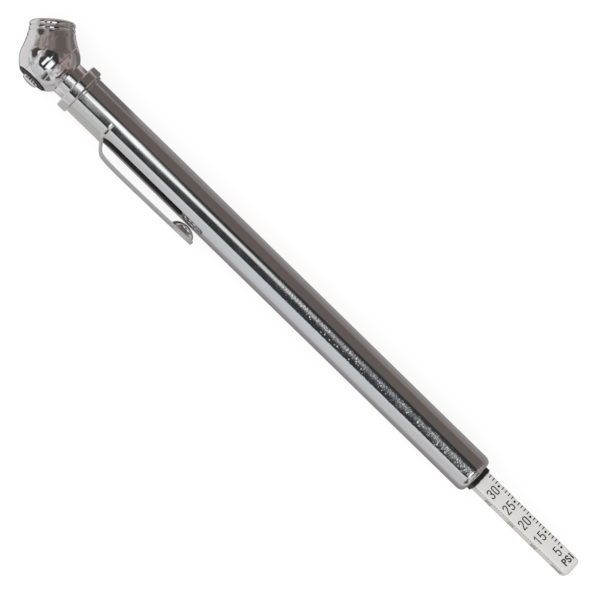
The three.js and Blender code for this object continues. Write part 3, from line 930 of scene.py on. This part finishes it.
class Print:
    """Raised ink on one side of the bar, as closed strips with round ends."""

    def __init__(self, side):
        self.side = side * math.pi / 2
        self.verts = []
        self.faces = []

    def _place(self, x, y, height):
        c, s = math.cos(self.side), math.sin(self.side)
        z = BAR_HALF + height
        return (x, *rolled(y * c - z * s, y * s + z * c))

    def _prism(self, outline):
        first = len(self.verts)
        n = len(outline)
        for height in (-INK_SINK, INK_THICK):
            self.verts.extend(self._place(x, y, height) for x, y in outline)
        self.faces.append([first + n + k for k in range(n)])
        self.faces.append([first + n - 1 - k for k in range(n)])
        for k in range(n):
            j = (k + 1) % n
            self.faces.append([first + k, first + j, first + n + j, first + n + k])

    def dot(self, x, y, r):
        turns = np.linspace(0, 2 * math.pi, 25)[:-1]
        self._prism([(x + r * math.sin(a), y + r * math.cos(a)) for a in turns])

    def stroke(self, points, width):
        """A strip along points with a round cap at each end and mitred corners."""
        pts = [np.array(p, float) for p in points]
        closed = np.linalg.norm(pts[0] - pts[-1]) < 1e-9
        h = width / 2
        sides = [[], []]
        runs = [unit(b - a) for a, b in zip(pts, pts[1:])]
        for i, p in enumerate(pts):
            ahead = runs[i] if i < len(runs) else runs[0] if closed else runs[-1]
            back = runs[i - 1] if i or closed else ahead
            mid = unit(ahead + back)
            n = np.array((-mid[1], mid[0])) / max(0.5, mid @ ahead)
            sides[0].append(p + n * h)
            sides[1].append(p - n * h)
        if closed:
            for k in range(len(pts) - 1):
                quad = [sides[0][k], sides[0][k + 1], sides[1][k + 1], sides[1][k]]
                self._prism([tuple(q) for q in self._wound(quad)])
            return
        start, end = unit(pts[0] - pts[1]), unit(pts[-1] - pts[-2])
        loop = list(sides[1])
        loop += self._cap(pts[-1], end, h)
        loop += sides[0][::-1]
        loop += self._cap(pts[0], start, h)
        self._prism([tuple(q) for q in self._wound(loop)])

    @staticmethod
    def _cap(p, direction, h):
        base = math.atan2(direction[1], direction[0])
        return [
            p + h * np.array((math.cos(base + a), math.sin(base + a)))
            for a in np.linspace(-math.pi / 2, math.pi / 2, 7)[1:-1]
        ]

    @staticmethod
    def _wound(loop):
        area = sum(a[0] * b[1] - b[0] * a[1] for a, b in zip(loop, [*loop[1:], loop[0]]))
        return loop if area > 0 else loop[::-1]

    def text(self, words, x, y, size, width, pitch=0.5, stretch=1.0):
        """Text read towards +y with its top towards the head, centred at (x, y)."""
        advance = size * pitch * stretch
        left = y - advance * len(words) / 2
        for n, letter in enumerate(words):
            start = left + n * advance
            for line in GLYPHS[letter]:
                points = [(x - size * (v - 0.5), start + size * stretch * u) for u, v in line]
                self.stroke(points, width)


PSI_X = {  # x of each numeral; those over 30 are inside the barrel as it lies
    30: 146.56, 25: 151.78, 20: 156.96, 15: 162.08, 5: 167.32,
    50: 125.68, 45: 130.90, 40: 136.12, 35: 141.34,
}
KPA_X = {350: 125.4, 300: 132.8, 250: 140.2, 200: 147.6, 150: 155.1, 100: 162.6, 50: 169.6}
KPA_TICKS = 60
KPA_FIRST = 125.1
KPA_STEP = 0.75
DOT_Y = 1.62
TICK_Y = (1.58, 2.24)
front = Print(0)
marks = sorted(PSI_X.values())
tick_rows = [
    low + (high - low) * k / 5 for low, high in zip(marks, marks[1:]) for k in range(1, 5)
]
for place in marks:
    front.dot(place, DOT_Y, 0.30)
for place in tick_rows:
    front.stroke([(place, y) for y in TICK_Y], 0.25)
for value, place in PSI_X.items():
    middle_y = -0.30 if value > 9 else 0.35
    front.text(str(value), place, middle_y, 2.35, 0.27, pitch=0.60, stretch=1.05)
front.text("PSI", 170.4, 0.85, 1.65, 0.32, pitch=0.62, stretch=1.15)
side = Print(1)
for k in range(KPA_TICKS):
    place = KPA_FIRST + k * KPA_STEP
    side.stroke([(place, 1.35 if k % 2 else 1.1), (place, 1.95)], 0.14)
for value, place in KPA_X.items():
    side.text(str(value), place, -0.6, 1.7, 0.2, pitch=0.58)
side.text("kPa", 171.2, -0.4, 1.3, 0.2, pitch=0.6)


def ink_piece(name, marks, material):
    obj = make_object(name, marks.verts, marks.faces, material)
    obj.data.polygons.foreach_set("use_smooth", [False] * len(obj.data.polygons))
    return obj


ink = ink_piece("psi_print", front, INK)
side_ink = ink_piece("kpa_print", side, PALE_INK)

# ---- what each piece rides on and stands for ----

for piece, body, slot, nodes in (
    (head, "housing", "head_chrome", ["chuck_head"]),
    (collar, "housing", "head_chrome", ["stem_collar"]),
    (seal, "housing", "seal_rubber", ["nozzle_seal"]),
    (pin, "housing", "inner_brass", ["depressor_pin"]),
    (washer, "housing", "seal_rubber", ["deflator_washer"]),
    (button, "housing", "head_chrome", ["deflator_stud"]),
    (tube, "housing", "barrel_chrome", ["barrel"]),
    (bush, "housing", "black_plastic", ["end_bush"]),
    (bar, "indicator", "white_nylon", ["indicator_bar"]),
    (ink, "indicator", None, []),
    (side_ink, "indicator", None, []),
):
    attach(piece, body)
    if nodes:
        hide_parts(*nodes)

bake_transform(clip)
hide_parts("pocket_clip_band", "pocket_clip_arm")

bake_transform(spring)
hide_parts("main_spring")

INSIDE = {
    "depressor_plate": BRASS, "barrel_gasket": RUBBER, "drag_ring": RUBBER, "spring_seat": STEEL,
    "piston_screw": STEEL, "cup_spreader": BRASS, "piston_cup": RUBBER,
    "piston_body": BRASS, "indicator_foot": BRASS,
}
for name, material in INSIDE.items():
    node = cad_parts[name]
    node.data.materials.clear()
    node.data.materials.append(material)

# ---- table and light ----


def table_material():
    """Pale to the eye. Glossy rays see a darker table that glows with painted reflection tones along
    the gauge, with painted shade close beside it.
    """
    material, graph, shader, place = new_material("table")
    x, y, _ = graph.add("ShaderNodeSeparateXYZ", Vector=place).outputs
    side = graph.step(y, -0.003, 0.003)  # 0 on the clip's side and 1 on the nozzle's
    # painted shade: for glossy rays the table on the clip's side is darker close beside the gauge
    painted_clip_side_tones = graph.mix(graph.step(y, -0.045, -0.007), (0.60, 0.59, 0.60), (0.25, 0.245, 0.245))
    painted_nozzle_side_tones = graph.mix(graph.step(y, 0.012, 0.045), (0.31, 0.295, 0.29), (0.24, 0.222, 0.216))
    seen = graph.mix(side, painted_clip_side_tones, painted_nozzle_side_tones)
    # round the head the table glows brighter for glossy rays, a painted reflection, with a painted
    # shadow rim right beside it
    head_x, head_y = graph.op("SUBTRACT", x, ORIGIN.x), graph.op("SUBTRACT", y, ORIGIN.y)
    up_nozzle = graph.dot((head_x, head_y), NOZZLE_AXIS[:2])
    up_nozzle = graph.op("MINIMUM", graph.op("MAXIMUM", up_nozzle, 0.0), 0.009)
    off_x = graph.op("SUBTRACT", head_x, graph.op("MULTIPLY", up_nozzle, NOZZLE_AXIS.x))
    off_y = graph.op("SUBTRACT", head_y, graph.op("MULTIPLY", up_nozzle, NOZZLE_AXIS.y))
    reach = graph.op("SQRT", graph.dot((off_x, off_y), (off_x, off_y)))
    painted_head_tones = graph.mix(graph.step(y, -0.004, 0.012), (0.74, 0.72, 0.735), (0.50, 0.44, 0.43))
    painted_head_tones = graph.mix(graph.step(reach, 0.0085, 0.0115), (0.10, 0.095, 0.095), painted_head_tones)
    # painted reflection tones by the collar: pale on the clip's side, dark on the nozzle's
    painted_collar_tones = graph.mix(side, (0.50, 0.49, 0.49), (0.16, 0.145, 0.14))
    seen = graph.mix(graph.step(x, -0.062, -0.057), painted_collar_tones, seen)
    seen = graph.mix(graph.step(x, -0.0765, -0.0740), painted_head_tones, seen)
    rays = graph.add("ShaderNodeLightPath").outputs
    glow = graph.mix(rays["Is Camera Ray"], (0.30, 0.30, 0.30), (0.79, 0.79, 0.79))
    glow = graph.mix(rays["Is Glossy Ray"], glow, seen)
    paint = graph.mix(rays["Is Glossy Ray"], (0.26, 0.26, 0.26), (0.02, 0.02, 0.02))
    graph.set(shader, Base_Color=paint, Roughness=0.9, Specular_IOR_Level=0.0)
    graph.set(shader, Emission_Color=glow, Emission_Strength=1.0)
    return material


TABLE_SIZE = 4
TABLE_GAP = 0.00001  # keeps the table clear of the gauge's underside
bpy.ops.mesh.primitive_plane_add(size=TABLE_SIZE, location=(0, 0, -TABLE_GAP))
table = bpy.context.object
table.name = "table"
table.data.materials.append(table_material())


def studio_world():
    """Soft light. Glossy rays see a room: a pale wall, a dark screen, a brown wall and a long lamp."""
    world = bpy.data.worlds.new("studio")
    world.use_nodes = True
    scene.world = world
    graph = Graph(world.node_tree)
    direction = graph.add("ShaderNodeTexCoord").outputs["Generated"]
    x, y, z = graph.add("ShaderNodeSeparateXYZ", Vector=direction).outputs

    def near(centre, inner, outer):
        """0 within inner radians of a direction and 1 beyond outer."""
        cosine = graph.op("MINIMUM", graph.dot((x, y, z), unit(centre)), 1.0)
        return graph.step(graph.op("ARCCOSINE", cosine), inner, outer)

    u = graph.op("MULTIPLY", y, -1.0)
    tilt = graph.op("ARCTAN2", u, z)  # turn from straight up towards the clip's side
    away = graph.op("ABSOLUTE", x)
    ragged = graph.op("MULTIPLY", graph.step(away, 0.11, 0.25), 0.55)
    shifts = []
    for offset in (0.0, 7.0):
        moved = graph.add("ShaderNodeMapping", Vector=direction, Location=(offset, offset, 0))
        cloud = graph.noise(moved.outputs["Vector"], 1.7)
        shifts.append(graph.op("MULTIPLY", graph.op("SUBTRACT", cloud, 0.5), ragged))
    edge_x = graph.op("ADD", away, shifts[0])
    edge_u = graph.op("ADD", u, shifts[1])
    # the screen is oval: it narrows away from the middle
    narrow = graph.op("SUBTRACT", 1.0, graph.op("MULTIPLY", graph.step(away, 0.18, 0.72), 0.85))
    edge_u = graph.op("DIVIDE", edge_u, narrow)

    dark = (0.034, 0.038, 0.040)
    wall = graph.mix(graph.step(u, 0.72, 1.0), (0.755, 0.765, 0.77), (0.60, 0.61, 0.62))
    blue = graph.lookup(x, -0.06, 0.14, [(-0.02, 0.0), (0.02, 0.9), (0.05, 0.9), (0.075, 0.0)])
    wall = graph.mix(blue, wall, (0.63, 0.685, 0.72))
    brown = graph.mix(graph.step(z, 0.30, -0.02), (0.145, 0.122, 0.114), (0.26, 0.24, 0.235))
    brown = graph.mix(graph.step(away, 0.12, 0.70), brown, (0.40, 0.335, 0.32))
    ends = graph.mix(graph.step(u, -0.35, 0.25), (0.46, 0.40, 0.39), (0.66, 0.65, 0.65))
    screen = graph.mix(graph.step(edge_x, 0.46, 0.60), dark, ends)
    shaded = graph.op("MULTIPLY", graph.step(x, 0.22, 0.42), graph.step(u, 0.66, 0.74))
    wall = graph.mix(shaded, wall, (0.09, 0.088, 0.09))
    color = graph.mix(graph.step(edge_u, -0.46, -0.38), brown, screen)
    color = graph.mix(graph.step(edge_u, 0.730, 0.760), color, wall)
    color = graph.mix(graph.step(edge_x, 0.955, 1.0), color, (0.10, 0.085, 0.08))

    # dim patches, and a dark piece of furniture with a window, which only the head and the edges see
    mottle = graph.step(graph.noise(direction, 4.0), 0.42, 0.66)
    patchy = graph.op("MULTIPLY", mottle, graph.step(away, 0.14, 0.30))
    color = graph.mix(graph.op("MULTIPLY", patchy, 0.6), color, (0.10, 0.085, 0.082))
    color = graph.mix(near((-0.84, -0.27, 0.45), 0.24, 0.38), (0.075, 0.064, 0.062), color)
    color = graph.mix(near((-0.68, -0.22, 0.70), 0.10, 0.18), (0.95, 0.94, 0.94), color)

    # the lamp's place, width, softness and brightness change along the tube
    low, high = -0.06, 0.14
    middle = graph.lookup(x, low, high, [
        (-0.06, 0.47), (-0.045, 0.47), (-0.035, 0.08), (-0.028, 0.08), (-0.016, 0.14), (0.03, 0.15),
        (0.05, 0.25), (0.079, 0.31), (0.092, 0.31), (0.11, 0.47),
    ])
    middle = graph.op("SUBTRACT", middle, 0.118)
    half = graph.lookup(x, low, high, [
        (-0.045, 0.32), (-0.035, 0.17), (-0.0235, 0.18), (-0.0185, 0.27), (-0.0135, 0.25),
        (-0.006, 0.14), (0.03, 0.16), (0.055, 0.2), (0.086, 0.17), (0.11, 0.32),
    ])
    soft = graph.lookup(x, low, high, [
        (-0.028, 0.05), (-0.0235, 0.06), (-0.0185, 0.17), (-0.012, 0.13), (-0.002, 0.09), (0.04, 0.12),
    ])
    level = graph.lookup(x, low, high, [
        (-0.06, 0.95), (-0.01, 1.0), (0.002, 0.84), (0.018, 0.62), (0.034, 0.46), (0.046, 0.07),
        (0.066, 0.04), (0.08, 0.13), (0.13, 1.0),
    ])
    off = graph.op("ABSOLUTE", graph.op("SUBTRACT", tilt, middle))
    inside = graph.step(graph.op("SUBTRACT", half, off), graph.op("MULTIPLY", soft, -1.0), soft)
    past_end = graph.step(x, 0.36, 0.46)
    reach = graph.op("MULTIPLY", graph.step(x, -0.26, -0.16), graph.op("SUBTRACT", 1.0, past_end))
    strength = graph.op("MULTIPLY", graph.op("MULTIPLY", inside, reach), level)
    color = graph.mix(strength, color, (1.22, 1.24, 1.25))

    diffuse = graph.step(graph.op("ADD", z, graph.op("MULTIPLY", u, 0.7)), -0.5, 0.75)
    soft_light = graph.mix(diffuse, (0.22, 0.22, 0.22), (1.05, 1.05, 1.05))
    rays = graph.add("ShaderNodeLightPath").outputs
    plain_light = graph.mix(rays["Is Camera Ray"], soft_light, (0.97, 0.97, 0.97))
    color = graph.mix(rays["Is Glossy Ray"], plain_light, color)
    graph.set(graph.nodes["Background"], Color=color)


studio_world()


def area_light(name, location, size, power):
    """A soft square lamp that points at the middle of the scene and isn't seen in reflections."""
    data = bpy.data.lights.new(name, "AREA")
    data.size = size
    data.energy = power
    obj = bpy.data.objects.new(name, data)
    obj.location = location
    obj.rotation_euler = (-Vector(location)).to_track_quat("-Z", "Y").to_euler()
    obj.visible_glossy = False
    scene.collection.objects.link(obj)


area_light("key", (-0.25, -0.35, 0.6), 0.4, 0.8)

# ---- camera ----

CAMERA_DISTANCE = 1.1
PICTURE_WIDTH = 0.1423  # metres across the picture at the gauge
SLOPE_COS, SLOPE_SIN = 0.71582, 0.69829  # the barrel runs down to the right at 44.3 degrees
TILT_ALONG = 1.8 * DEG
TILT_ACROSS = 8.5 * DEG
AIM = ORIGIN + Vector((0.081974, 0.000842, 0))
SENSOR = 36

# the camera's directions: back towards it, and the picture's right and up
toward = Vector((
    -math.sin(TILT_ALONG),
    -math.cos(TILT_ALONG) * math.sin(TILT_ACROSS),
    math.cos(TILT_ALONG) * math.cos(TILT_ACROSS),
))
barrel_dir = (Vector((1, 0, 0)) - toward * toward.x).normalized()
nozzle_dir = toward.cross(barrel_dir)
right = SLOPE_COS * barrel_dir + SLOPE_SIN * nozzle_dir
up = SLOPE_COS * nozzle_dir - SLOPE_SIN * barrel_dir

camera_data = bpy.data.cameras.new("camera")
camera_data.sensor_width = SENSOR
camera_data.lens = SENSOR * CAMERA_DISTANCE / PICTURE_WIDTH
camera = bpy.data.objects.new("camera", camera_data)
rotation = Matrix((right, up, toward)).transposed()
camera.matrix_world = Matrix.Translation(AIM + toward * CAMERA_DISTANCE) @ rotation.to_4x4()
scene.collection.objects.link(camera)
scene.camera = camera
scene.view_settings.view_transform = "Standard"
